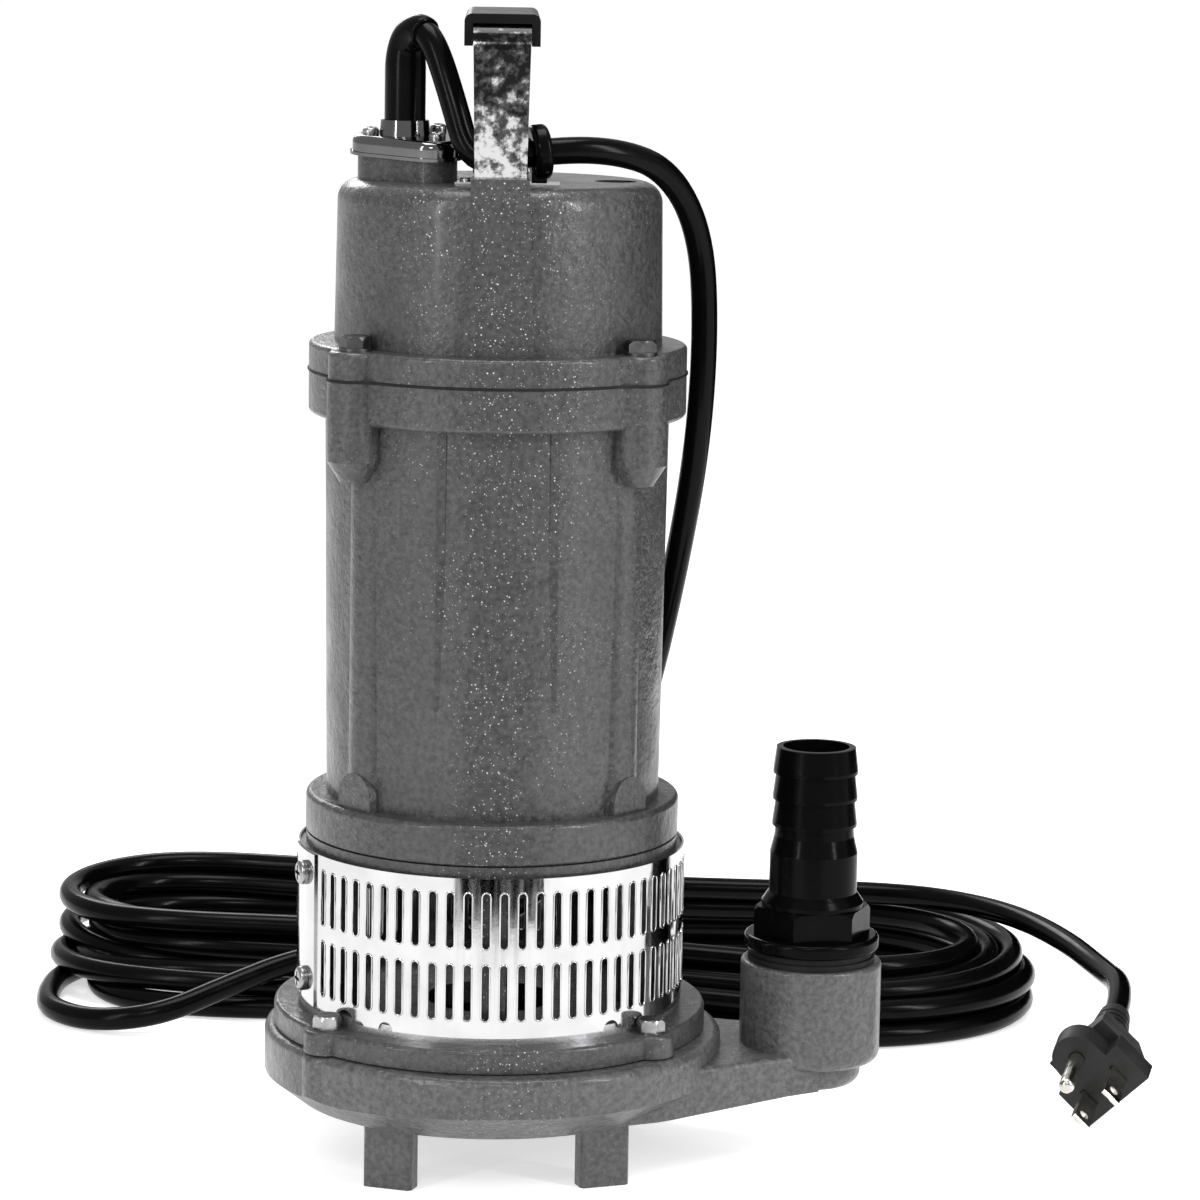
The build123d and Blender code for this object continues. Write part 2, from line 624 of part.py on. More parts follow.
def crossing(path, x):
    # Where a path first reaches this x on its way to the right of the handle, and which way it runs there
    low, high = 0.1, 0.6
    while high - low > 1e-5:
        middle = (low + high) / 2
        if (path @ middle).X < x:
            low = middle
        else:
            high = middle
    return path @ low, path % low


def cord_clamp():
    # A moulded rubber eye round the cord, standing on the strip
    centre, along = crossing(cord_path(UPPER_ROUTE), CLAMP_X)
    eye = Plane(origin=centre, z_dir=along)
    hoop = fillet(Cylinder(CLAMP_RING_R, CLAMP_LONG).edges(), 1.6)
    stem = block(CLAMP_X - 2.2, CLAMP_X + 2.2, centre.Y - 3.0, centre.Y + 3.0, COVER_TOP_Z + STRIP_THICK, centre.Z)
    return eye * hoop + stem - eye * Cylinder(CORD_R + 0.5, CLAMP_LONG * 2)


# ---------------------------------------------------------------- hose connector

HEX_ACROSS = 30.6
CREST_STEP = 7.9


def hose_washer():
    low = ring(19.0, THREAD_R + 0.3, BOSS_TOP_Z, BOSS_TOP_Z + 1.7)
    high = ring(18.2, THREAD_R + 0.3, BOSS_TOP_Z + 1.7, BOSS_TOP_Z + 3.6)
    return Pos(OUTLET_X, 0, 0) * (low + high)


def hose_connector():
    flange_low = BOSS_TOP_Z + 3.6
    flange_top = flange_low + 4.4
    hex_top = 76.2
    thread = post(THREAD_R, 42.0, flange_low + 1)
    flange = post(20.1, flange_low, flange_top)
    flange = fillet(flange.edges(), 1.3)
    nut = prism(RegularPolygon(HEX_ACROSS / 2, 6, major_radius=False), flange_top - 0.5, hex_top)
    nut = nut & cone(23.0, 14.9, flange_top - 0.5, hex_top + 2.5)
    crest = SPIGOT_R
    profile = [(OUTLET_BORE_R, flange_low), (15.2, flange_low), (15.2, 77.6), (14.0, 79.4), (13.1, 80.6),
               (13.1, 92.5), (11.9, 97.5), (11.7, SPIGOT_TOP_Z - 3 * CREST_STEP - 0.2)]
    level = SPIGOT_TOP_Z - 3 * CREST_STEP
    for step in range(3):
        profile += [(crest, level), (crest, level + 1.0), (11.8, level + CREST_STEP - 0.1)]
        level += CREST_STEP
    profile += [(11.2, SPIGOT_TOP_Z), (OUTLET_BORE_R, SPIGOT_TOP_Z)]
    spigot = revolved(profile)
    body = thread + flange + nut + spigot
    body -= post(OUTLET_BORE_R, 30.0, SPIGOT_TOP_Z + 1)
    return Pos(OUTLET_X, 0, 0) * Rot(0, 0, 8) * body


# ---------------------------------------------------------------- rotating set

SHAFT_R = 5.0
JOURNAL_R = 6.0
ROTOR_SHAFT_R = 8.0
IMPELLER_LOW_Z = 29.2
IMPELLER_R = 44.0
VANES = 6
VANE_ARC_R = 30.0
VANE_THICK = 3.0
NUT_ACROSS = 13.0


def motor_shaft():
    return revolved([(0, 24.4), (4.0, 24.4), (4.0, IMPELLER_LOW_Z), (SHAFT_R, IMPELLER_LOW_Z), (SHAFT_R, 104.5),
                     (JOURNAL_R, 104.5), (JOURNAL_R, 123.0), (ROTOR_SHAFT_R, 123.0), (ROTOR_SHAFT_R, 214.0),
                     (JOURNAL_R, 214.0), (JOURNAL_R, 228.0), (0, 228.0)])


def vane_sketch():
    # A backward-curved blade: a strip of a ring whose centre stands beside the shaft
    strip = Circle(VANE_ARC_R + VANE_THICK / 2) - Circle(VANE_ARC_R - VANE_THICK / 2)
    return Pos(9.0, VANE_ARC_R - 1.0) * strip


def impeller():
    disc = post(IMPELLER_R, IMPELLER_LOW_Z, IMPELLER_LOW_Z + 2.4)
    wheel = disc + softened(post(10.5, IMPELLER_LOW_Z, 40.0), 40.0, 1.5)
    keep = post(IMPELLER_R - 0.6, 20.0, 50.0) & block(9.0, 60.0, -4.0, 60.0, 20.0, 50.0)
    vane = prism(vane_sketch(), IMPELLER_LOW_Z + 2.0, 38.4) & keep
    for i in range(VANES):
        wheel += turned(vane, i * 360 / VANES)
    return wheel - post(SHAFT_R + 0.05, 28.0, 50.0)


def impeller_nut():
    nut = prism(RegularPolygon(NUT_ACROSS / 2, 6, major_radius=False), 24.8, IMPELLER_LOW_Z)
    return nut - post(4.05, 20.0, 31.0)


def rotor_core():
    core = ring(24.4, ROTOR_SHAFT_R + 0.05, 136.0, 198.0)
    for end in (130.0, 198.0):
        core += ring(23.0, 15.0, end, end + 6.0)
    return core


def bearing_outer(low):
    return ring(BEARING_R - 0.05, 12.9, low, low + BEARING_THICK)


def bearing_inner(low):
    return ring(9.2, JOURNAL_R + 0.03, low, low + BEARING_THICK)


BALLS = 8
BALL_R = 1.8


def bearing_balls(low):
    level = low + BEARING_THICK / 2
    return group([Pos(*polar(11.05, i * 360 / BALLS), level) * Sphere(BALL_R) for i in range(BALLS)])


def shaft_lip_seal():
    # Keeps the oil chamber's oil out of the motor
    return ring(9.95, JOURNAL_R + 0.08, 105.0, 111.4)


def seal_seat():
    return ring(SEAL_BORE_R - 0.05, SHAFT_R + 1.0, SEAT_LOW_Z + 0.1, SEAT_LOW_Z + 5.0)


def seal_head():
    face = ring(9.5, SHAFT_R + 0.04, SEAT_LOW_Z + 5.1, SEAT_LOW_Z + 8.0)
    shell = ring(11.0, SHAFT_R + 0.04, SEAT_LOW_Z + 8.0, SEAT_LOW_Z + 11.5)
    return face + shell


def seal_spring():
    # Modelled as its envelope, a thin sleeve of the coil's size
    return ring(9.0, 7.4, SEAT_LOW_Z + 11.6, 102.6)


# ---------------------------------------------------------------- fixed motor parts

STATOR_LOW_Z = 134.0
STATOR_TOP_Z = 200.0
STATOR_SLOTS = 12


def stator_core():
    core = ring(STATOR_R, 24.9, STATOR_LOW_Z, STATOR_TOP_Z)
    tools = []
    for i in range(STATOR_SLOTS):
        bar = block(27.0, 37.0, -3.4, 3.4, STATOR_LOW_Z - 1, STATOR_TOP_Z + 1)
        mouth = block(24.0, 28.0, -0.9, 0.9, STATOR_LOW_Z - 1, STATOR_TOP_Z + 1)
        tools.append(turned(bar + mouth, i * 360 / STATOR_SLOTS))
    return core.cut(*tools)


def stator_windings():
    coils = [softened(ring(37.5, 27.2, 126.6, STATOR_LOW_Z - 0.1), 126.6, 2.5),
             softened(ring(37.5, 27.2, STATOR_TOP_Z + 0.1, 211.5), 211.5, 3.0)]
    for i in range(STATOR_SLOTS):
        coils.append(turned(block(28.2, 36.6, -3.1, 3.1, STATOR_LOW_Z - 0.2, STATOR_TOP_Z + 0.2),
                            i * 360 / STATOR_SLOTS))
    return joined(coils)


def bearing_carrier():
    # The plate in the casing's mouth that holds the upper bearing
    web = ring(STATOR_R, 12.0, 222.0, WEB_TOP_Z)
    hub = ring(BEARING_R + 4.5, BEARING_R, 215.0, CARRIER_TOP_Z)
    cap = ring(BEARING_R + 4.5, 9.0, UPPER_BEARING_Z + BEARING_THICK + 0.3, CARRIER_TOP_Z)
    plate = web + hub + cap - post(BEARING_R, UPPER_BEARING_Z - 3, UPPER_BEARING_Z + BEARING_THICK + 0.05)
    for angle in (0, 180, 290):
        plate -= post(5.0, 220.0, 232.0, *polar(32.0, angle))
    return plate


WEB_TOP_Z = 226.5
CARRIER_TOP_Z = 229.4
CAPACITOR = (15.0, 12.0)
CAPACITOR_R = 13.5


def run_capacitor():
    # The can stands on the bearing carrier, with two blade terminals on its upper end
    can = softened(post(CAPACITOR_R, CARRIER_TOP_Z, 272.0, *CAPACITOR), 272.0, 1.5)
    for x in (-4.0, 4.0):
        can += block(CAPACITOR[0] + x - 0.4, CAPACITOR[0] + x + 0.4, CAPACITOR[1] - 3.2, CAPACITOR[1] + 3.2,
                     271.0, 279.0)
    return can


def capacitor_clip():
    # A sheet ring round the can on a leg that is screwed to the carrier
    x, y = CAPACITOR
    band = ring(CAPACITOR_R + 1.2, CAPACITOR_R + 0.1, 250.0, 262.0)
    leg = block(-4.0, 4.0, CAPACITOR_R + 0.4, CAPACITOR_R + 1.4, WEB_TOP_Z, 258.0)
    foot = block(-4.0, 4.0, CAPACITOR_R + 0.4, CAPACITOR_R + 10.0, WEB_TOP_Z, WEB_TOP_Z + 1.0)
    return Pos(x, y, 0) * (band + leg + foot)


def terminal_block():
    body = block(-28.0, -4.0, 20.8, 31.0, WEB_TOP_Z, 244.0)
    for i in range(3):
        body -= post(2.0, 238.0, 246.0, -24.0 + i * 8.0, 26.0)
    return body


def overload_protector():
    return softened(post(8.5, WEB_TOP_Z, 236.0, -18.0, -24.0), 236.0, 1.5)


# ---------------------------------------------------------------- cord, coil and plug

UPPER_ROUTE = [
    (GLAND_X, GLAND_Y, 303.0), (GLAND_X, GLAND_Y, 318.0), (-27.6, -3.8, 333.4), (-19.4, -15.6, 332.2),
    (-13.9, -21.6, 314.5), (-8.4, -26.4, 295.6), (8.6, -26.0, 300.2), (31.7, -19.0, 300.8),
    (48.3, -7.0, 294.8), (58.6, 4.0, 276.0), (61.0, 9.0, 247.0), (59.6, 16.0, 210.5), (54.0, 31.0, 169.5),
    (47.0, 54.0, 128.0), (37.0, 83.0, 88.0), (24.0, 106.0, 52.0), (4.0, 124.0, 34.0), (-18.0, 140.0, 27.0),
    (-42.0, 152.0, 24.0)]
# Points of that route that the sleeve follows, and how far it goes along the next run
SLEEVE_POINTS = 3
SLEEVE_REACH = 0.7
PLUG_TIP = (180.2, 12.0, 6.25)
PLUG_AXIS = Vector(-0.27, -0.945, -0.18).normalized()
PLUG_PIN_TO_BLADES = 11.9
BLADE_GAP = 12.7
BLADE_LONG = 17.5
PLUG_BODY_LONG = 27.0
BOOT_LONG = 17.0
FACE_TURN = 45.0
# Where the body's axis lies, from the blades towards the pin
BODY_CENTRE = 0.36
PLUG_ROUTE_START = [
    (104.0, 231.0, 27.4), (131.0, 228.0, 28.0), (158.0, 217.0, 28.6), (180.0, 192.0, 29.0),
    (194.0, 158.0, 28.0), (201.5, 124.0, 26.5)]


def plug_plane():
    # Origin in the middle of the two blades on the plug's face, Z out of the face, X from one blade to the other
    up = Vector(0, 0, 1)
    side = PLUG_AXIS.cross(up).normalized() * -1
    lift = side.cross(PLUG_AXIS).normalized() * -1
    if lift.Z < 0:
        lift = lift * -1
    turn = math.radians(FACE_TURN)
    across = (side * math.cos(turn) + lift * math.sin(turn)).normalized()
    if across.X < 0:
        across = across * -1
    tip = Vector(*PLUG_TIP)
    middle = tip - PLUG_AXIS * BLADE_LONG + across * (BLADE_GAP / 2)
    return Plane(origin=middle, x_dir=across, z_dir=PLUG_AXIS)


def cord_radii(route):
    radii = []
    for before, corner, after in zip(route, route[1:], route[2:]):
        into = Vector(*corner) - Vector(*before)
        out = Vector(*after) - Vector(*corner)
        turn = math.radians(into.get_angle(out))
        radii.append(0.45 * min(into.length, out.length) / math.tan(turn / 2))
    return radii


def cord_path(route):
    return FilletPolyline(*route, radius=cord_radii(route))


def cord_tube(route, radius):
    path = cord_path(route)
    start = Plane(origin=path @ 0, z_dir=path % 0)
    return sweep(start * Circle(radius), path=path)


COIL_LEFT = (-82.0, 190.0, 74.0)
COIL_RIGHT = (121.0, 185.5, 69.5)
COIL_HOLE_LEFT = (-95.0, 229.0, 14.0)
COIL_HOLE_RIGHT = (115.0, 185.0, 36.0)


def capsule(left, right):
    # The outline round two circles, with the two lines that touch both
    lx, ly, lr = left
    rx, ry, rr = right
    span = math.hypot(rx - lx, ry - ly)
    lean = math.atan2(ry - ly, rx - lx)
    open_turn = math.acos((lr - rr) / span)
    corners = []
    for side in (1, -1):
        turn = lean + side * open_turn
        near = (lx + lr * math.cos(turn), ly + lr * math.sin(turn))
        far = (rx + rr * math.cos(turn), ry + rr * math.sin(turn))
        corners.append((near, far))
    middle = make_face(Polyline(corners[0][0], corners[0][1], corners[1][1], corners[1][0], close=True))
    return middle + Pos(lx, ly) * Circle(lr) + Pos(rx, ry) * Circle(rr)


def cord_coil():
    ring_plan = capsule(COIL_LEFT, COIL_RIGHT) - capsule(COIL_HOLE_LEFT, COIL_HOLE_RIGHT)
    return prism(ring_plan, 0.0, COIL_TOP_Z)


def plug_route():
    plane = plug_plane()
    back = PLUG_BODY_LONG + BOOT_LONG
    end = plane.origin + plane.y_dir * (PLUG_PIN_TO_BLADES * BODY_CENTRE) - PLUG_AXIS * back
    lead_in = end - PLUG_AXIS * 24.0
    return PLUG_ROUTE_START + [tuple(lead_in), tuple(end)]


def plug_sketch():
    # The face: a broad end round the blades and a round end round the earth pin
    blades = Rectangle(BLADE_GAP + 12.5, 14.0)
    pin = Pos(0, PLUG_PIN_TO_BLADES) * Circle(7.6)
    neck = Pos(0, PLUG_PIN_TO_BLADES / 2) * Rectangle(15.4, PLUG_PIN_TO_BLADES)
    return blades + pin + neck


def plug_body():
    plane = plug_plane()
    face = extrude(plug_sketch(), amount=-9.0)
    middle = Pos(0, PLUG_PIN_TO_BLADES * BODY_CENTRE)
    shoulder = loft([Plane.XY.offset(-9.0) * middle * Rectangle(23.0, 20.0),
                     Plane.XY.offset(-PLUG_BODY_LONG) * middle * Rectangle(14.5, 14.5)])
    body = face + shoulder
    for x in (-BLADE_GAP / 2, BLADE_GAP / 2):
        body -= Pos(x, 0, 0) * Box(1.75, 6.6, 16.0)
    body -= Pos(0, PLUG_PIN_TO_BLADES, 0) * Cylinder(2.55, 16.0)
    return plane * body


def plug_boot():
    plane = plug_plane()
    boot = Pos(0, PLUG_PIN_TO_BLADES * BODY_CENTRE, -PLUG_BODY_LONG) * Cone(
        5.0, 6.6, BOOT_LONG, align=(Align.CENTER, Align.CENTER, Align.MAX))
    for i in range(3):
        level = -PLUG_BODY_LONG - 4.0 - i * 3.6
        boot -= Pos(0, PLUG_PIN_TO_BLADES * BODY_CENTRE, level) * (Cylinder(8.0, 1.3) - Cylinder(4.7, 1.4))
    return plane * boot


def plug_blades():
    plane = plug_plane()
    blades = []
    for x in (-BLADE_GAP / 2, BLADE_GAP / 2):
        blade = Pos(x, 0, -7.5) * Box(1.6, 6.3, BLADE_LONG + 7.5, align=(Align.CENTER, Align.CENTER, Align.MIN))
        blade = chamfer(blade.edges().filter_by(Axis.Y).group_by(Axis.Z)[-1], 0.5)
        blade -= Pos(x, 0, BLADE_LONG - 4.5) * Rot(0, 90, 0) * Cylinder(1.6, 6)
        blades.append(plane * blade)
    return group(blades)


def plug_ground_pin():
    plane = plug_plane()
    pin = Pos(0, PLUG_PIN_TO_BLADES, -7.5) * Cylinder(2.4, 28.5, align=(Align.CENTER, Align.CENTER, Align.MIN))
    pin = fillet(pin.edges().group_by(Axis.Z)[-1], 1.8)
    return plane * pin


def cable_sleeve():
    # A rubber sleeve round the cord, from the gland's neck over the top of its arch
    before = Vector(*UPPER_ROUTE[SLEEVE_POINTS - 1])
    after = Vector(*UPPER_ROUTE[SLEEVE_POINTS])
    route = UPPER_ROUTE[:SLEEVE_POINTS] + [tuple(before + (after - before) * SLEEVE_REACH)]
    path = FilletPolyline(*route, radius=cord_radii(UPPER_ROUTE)[:SLEEVE_POINTS - 1])
    start = Plane(origin=path @ 0, z_dir=path % 0)
    sleeve = sweep(start * (Circle(SLEEVE_R) - Circle(SLEEVE_BORE_R)), path=path)
    return sleeve - post(10.0, 290.0, 303.3, GLAND_X, GLAND_Y)


def cord_nodes():
    coil = cord_coil()
    upper = cord_tube(UPPER_ROUTE, CORD_R)
    lead = cord_tube(plug_route(), CORD_R)
    for name, route, tube in (("upper run", UPPER_ROUTE, upper), ("plug run", plug_route(), lead)):
        path = cord_path(route)
        print(name, "length", round(path.length, 1), "volume ratio",
              round(tube.volume / (path.length * math.pi * CORD_R ** 2), 4))
        print(name, "radii", [round(r, 1) for r in cord_radii(route)])
        print(name, "lowest", round(tube.bounding_box().min.Z, 2))
    return {"cord_coil": coil, "cord_upper_run": upper - coil, "cord_plug_run": lead - coil}


def all_nodes():
    nodes = {
        "volute_casing": volute_casing(),
        "volute_gasket": volute_gasket(),
        "inlet_plate": inlet_plate(),
        "strainer_seat_ring": strainer_seat_ring(),
        "bracket_columns": bracket_columns(),
        "seal_housing": seal_housing(),
        "plate_bolts": plate_bolts(),
        "bracket_screws": bracket_screws(),
        "strainer_band": strainer_band(),
        "strainer_lap": strainer_lap(),
        "strainer_screws": strainer_screws(),
        "strainer_nut_strip": strainer_nut_strip(),
        "motor_casing": motor_casing(),
        "casing_gasket": casing_gasket(),
        "cover_oring": cover_oring(),
        "top_cover": top_cover(),
        "casing_bolts": casing_bolts(),
        "oil_plug": oil_plug(),
        "gland_cap": gland_cap(),
        "gland_bush": gland_bush(),
        "gland_screws": gland_screws(),
        "cable_sleeve": cable_sleeve(),
        "handle_strap": handle_strap(),
        "handle_grip": handle_grip(),
        "handle_screws": handle_screws(),
        "clamp_plate": clamp_plate(),
        "clamp_screws": clamp_screws(),
        "cord_clamp": cord_clamp(),
        "hose_washer": hose_washer(),
        "hose_connector": hose_connector(),
        "motor_shaft": motor_shaft(),
        "impeller": impeller(),
        "impeller_nut": impeller_nut(),
        "rotor_core": rotor_core(),
        "lower_bearing_outer": bearing_outer(LOWER_BEARING_Z),
        "lower_bearing_inner": bearing_inner(LOWER_BEARING_Z),
        "lower_bearing_balls": bearing_balls(LOWER_BEARING_Z),
        "upper_bearing_outer": bearing_outer(UPPER_BEARING_Z),
        "upper_bearing_inner": bearing_inner(UPPER_BEARING_Z),
        "upper_bearing_balls": bearing_balls(UPPER_BEARING_Z),
        "shaft_lip_seal": shaft_lip_seal(),
        "seal_seat": seal_seat(),
        "seal_head": seal_head(),
        "seal_spring": seal_spring(),
        "stator_core": stator_core(),
        "stator_windings": stator_windings(),
        "bearing_carrier": bearing_carrier(),
        "run_capacitor": run_capacitor(),
        "capacitor_clip": capacitor_clip(),
        "terminal_block": terminal_block(),
        "overload_protector": overload_protector(),
        "plug_body": plug_body(),
        "plug_boot": plug_boot(),
        "plug_blades": plug_blades(),
        "plug_ground_pin": plug_ground_pin(),
    }
    nodes.update(cord_nodes())
    return nodes


os.makedirs("parts", exist_ok=True)
for name, shape in all_nodes().items():
    export_step(shape, f"parts/{name}.step")
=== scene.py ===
import json
import math

import bpy
import numpy as np
from mathutils import Matrix, Vector

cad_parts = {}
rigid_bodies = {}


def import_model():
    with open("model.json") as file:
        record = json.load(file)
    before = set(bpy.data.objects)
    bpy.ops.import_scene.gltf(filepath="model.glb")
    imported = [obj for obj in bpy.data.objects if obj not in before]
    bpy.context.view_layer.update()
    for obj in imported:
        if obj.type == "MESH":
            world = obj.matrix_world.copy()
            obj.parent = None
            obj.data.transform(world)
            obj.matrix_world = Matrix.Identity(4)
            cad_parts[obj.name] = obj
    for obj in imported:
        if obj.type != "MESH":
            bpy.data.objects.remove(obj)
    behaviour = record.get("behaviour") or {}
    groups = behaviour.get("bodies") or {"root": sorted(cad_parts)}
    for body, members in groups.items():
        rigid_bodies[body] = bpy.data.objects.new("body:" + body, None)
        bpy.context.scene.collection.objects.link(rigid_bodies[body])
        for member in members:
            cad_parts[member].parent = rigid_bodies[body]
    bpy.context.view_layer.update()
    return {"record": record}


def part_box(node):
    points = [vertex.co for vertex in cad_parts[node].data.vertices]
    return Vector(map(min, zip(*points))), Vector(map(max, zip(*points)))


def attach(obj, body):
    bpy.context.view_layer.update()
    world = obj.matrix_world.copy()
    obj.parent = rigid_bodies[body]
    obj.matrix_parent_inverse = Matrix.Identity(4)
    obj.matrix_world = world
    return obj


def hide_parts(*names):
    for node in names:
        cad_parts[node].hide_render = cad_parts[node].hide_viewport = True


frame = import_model()

MM = 0.001

# ---------------------------------------------------------------- camera

CAMERA_DISTANCE = 1.268
CAMERA_HEIGHT = 0.370
CAMERA_YAW = math.radians(1.4)
CAMERA_PITCH = math.radians(9.08)
CAMERA_ROLL = math.radians(1.0)
CAMERA_LENS = 130.65


def add_camera():
    data = bpy.data.cameras.new("camera")
    camera = bpy.data.objects.new("camera", data)
    bpy.context.collection.objects.link(camera)
    data.sensor_width = 36.0
    data.lens = CAMERA_LENS
    data.clip_start = 0.01
    data.clip_end = 100.0
    look = Vector((math.sin(CAMERA_YAW) * math.cos(CAMERA_PITCH),
                   math.cos(CAMERA_YAW) * math.cos(CAMERA_PITCH), -math.sin(CAMERA_PITCH)))
    right = Vector((math.cos(CAMERA_YAW), -math.sin(CAMERA_YAW), 0))
    up = right.cross(look)
    right_rolled = right * math.cos(CAMERA_ROLL) + up * math.sin(CAMERA_ROLL)
    up_rolled = up * math.cos(CAMERA_ROLL) - right * math.sin(CAMERA_ROLL)
    turn = Matrix((right_rolled, up_rolled, -look)).transposed()
    camera.matrix_world = Matrix.Translation((0, -CAMERA_DISTANCE, CAMERA_HEIGHT)) @ turn.to_4x4()
    bpy.context.scene.camera = camera


# ---------------------------------------------------------------- the mains cord

CORD_R = 3.85
GLAND = (-27.8, -5.0, 303.0)
# The CAD route's points, from the gland over the clamp and down behind the pump. The arch at its top has one point
# more than the CAD's, and the points round it were moved to make it rounder.
UPPER_ROUTE = [
    GLAND, (-27.8, -5.0, 318.0), (-27.8, -4.6, 329.8), (-23.6, -10.4, 334.4), (-19.2, -16.0, 329.6),
    (-14.4, -21.2, 316.0), (-8.4, -26.4, 295.6), (10.0, -26.0, 300.3), (31.7, -19.0, 300.8), (48.3, -7.0, 294.8),
    (58.6, 4.0, 276.0), (61.0, 9.0, 247.0), (59.6, 16.0, 210.5), (54.0, 31.0, 169.5), (47.0, 54.0, 128.0),
    (37.0, 83.0, 88.0), (24.0, 106.0, 52.0), (4.0, 124.0, 34.0), (-18.0, 140.0, 27.0)]
# From there it crosses the coil and comes down to the floor at the left
LEAD_DOWN = [
    (-42.0, 152.0, 24.0), (-66.0, 151.0, 20.0), (-89.0, 139.0, 13.0), (-108.0, 127.0, 7.0), (-130.0, 129.3, 4.0),
    (-146.0, 144.6, 4.0), (-149.0, 166.0, 4.0), (-147.0, 192.0, 4.0)]
# Each turn of the coil: the reach, back and front of its left bend, then of its right bend
TURNS = [
    ((-146.0, 236.0, 120.0), (184.0, 246.5, 122.5)),
    ((-137.0, 231.0, 156.0), (176.0, 238.0, 131.0)),
    ((-148.0, 252.0, 157.0), (184.0, 247.0, 122.5)),
    ((-140.0, 242.0, 172.0), (175.0, 239.0, 131.0)),
    ((-148.0, 261.0, 184.0), (181.0, 253.0, 126.0)),
    ((-139.0, 256.0, 181.0), (172.0, 240.0, 134.0)),
    ((-141.0, 258.0, 184.0), (166.0, 232.0, 140.0)),
    ((-148.0, 262.0, 184.0), None)]
TURN_RISE = 3.4
FLOOR_LEVEL = 4.0
PLUG_ROUTE = [
    (104.0, 231.0, 27.4), (131.0, 228.0, 28.0), (158.0, 217.0, 28.6), (180.0, 192.0, 29.0), (194.0, 158.0, 28.0),
    (201.5, 124.0, 26.5), (204.3, 91.2, 29.0), (197.9, 68.5, 24.7)]
BEND_BULGE = 1.04
SAMPLES_PER_SPAN = 8
SETTLE_STEPS = 500
CLEARANCE = 7.95
PAIR_MARGIN = 3.0
PAIRS_EVERY = 4
OWN_SAMPLES = 12
LEAST_LIFT = 2.0
PUSH_RATE = 2.0
SINK = 0.12
SINK_UNTIL = 0.8
SIDE_HOLD = 0.985


def end_bend(reach, back, front, side, level):
    # Five points round one end of the coil, front to back on the left and back to front on the right
    half = (back - front) / 2
    middle = (back + front) / 2
    centre = reach - side * half
    places = []
    for step in range(5):
        turn = math.radians(-90 + 45 * step) * -side
        places.append((centre + side * half * BEND_BULGE * math.cos(turn),
                       middle + half * BEND_BULGE * math.sin(turn), level))
    return places


def long_side(start, end, count):
    # Points along one side of the coil, which leaves its start early and comes to its end flat
    places = []
    for step in range(1, count + 1):
        t = step / (count + 1)
        across = math.sin(math.pi / 2 * t)
        places.append((start[0] + (end[0] - start[0]) * t, start[1] + (end[1] - start[1]) * across,
                       start[2] + (end[2] - start[2]) * t))
    return places


def coil_turns():
    places = []
    for number, (left, right) in enumerate(TURNS):
        level = FLOOR_LEVEL + number * TURN_RISE
        bend = end_bend(*left, -1, level)
        if places:
            places += long_side(places[-1], bend[0], 4)
        else:
            bend = bend[3:]
        places += bend
        if right:
            bend = end_bend(*right, 1, level + TURN_RISE / 2)
            places += long_side(places[-1], bend[0], 4)
            places += bend
    return places


def spline_weights(count):
    # How much each control point has in each sample of a clamped quadratic spline
    knots = [0, 0, 0] + list(range(1, count - 2)) + [count - 2] * 3
    rows = (count - 2) * SAMPLES_PER_SPAN + 1
    weights = np.zeros((rows, count))
    for row in range(rows):
        t = min(row / SAMPLES_PER_SPAN, count - 2 - 1e-9)
        span = min(int(t), count - 3)
        k = span + 2
        first = (knots[k + 1] - t) ** 2 / ((knots[k + 1] - knots[k - 1]) * (knots[k + 1] - knots[k]))
        last = (t - knots[k]) ** 2 / ((knots[k + 2] - knots[k]) * (knots[k + 1] - knots[k]))
        weights[row, span] = first
        weights[row, span + 1] = 1.0 - first - last
        weights[row, span + 2] = last
    return weights


def near_pairs(line, reach):
    # Samples of the cord that come within reach of each other and are not neighbours along it
    count = len(line)
    square = (line ** 2).sum(1)
    gaps = square[:, None] + square[None, :] - 2.0 * line @ line.T
    rows, columns = np.nonzero(gaps < reach * reach)
    keep = columns - rows > OWN_SAMPLES
    return rows[keep], columns[keep]


def settled(start, coil, end):
    # Pushes the coil's turns apart where they touch and lets them sink onto each other. It stops after a set
    # number of steps, and some turns at the left end still overlap then.
    control = np.array(start + coil + end)
    home = control.copy()
    free = np.zeros(len(control), bool)
    free[len(start):len(start) + len(coil)] = True
    weights = spline_weights(len(control))
    share = weights.sum(0)
    for step in range(SETTLE_STEPS):
        line = weights @ control
        if step % PAIRS_EVERY == 0:
            first, second = near_pairs(line, CLEARANCE + PAIR_MARGIN)
        apart = line[second] - line[first]
        gap = np.sqrt((apart ** 2).sum(1)) + 1e-6
        close = gap < CLEARANCE
        apart, gap, one, two = apart[close], gap[close], first[close], second[close]
        apart[np.abs(apart[:, 2]) < LEAST_LIFT, 2] = LEAST_LIFT
        apart /= np.sqrt((apart ** 2).sum(1))[:, None]
        push = (CLEARANCE - gap)[:, None] * apart * 0.5
        move = np.zeros_like(line)
        hits = np.zeros(len(line))
        np.add.at(move, two, push)
        np.add.at(move, one, -push)
        np.add.at(hits, one, 1)
        np.add.at(hits, two, 1)
        move /= np.maximum(hits, 1)[:, None]
        control[free] += ((weights.T @ move) / share[:, None] * PUSH_RATE)[free]
        if step < SETTLE_STEPS * SINK_UNTIL:
            control[free, 2] -= SINK
        drift = control - home
        drift[1:-1] = 0.5 * drift[1:-1] + 0.5 * (0.25 * drift[:-2] + 0.5 * drift[1:-1] + 0.25 * drift[2:])
        drift[:, :2] *= SIDE_HOLD
        control[free] = (home + drift)[free]
        control[free, 2] = np.maximum(control[free, 2], FLOOR_LEVEL)
    return [tuple(float(v) for v in place) for place in control[free]]


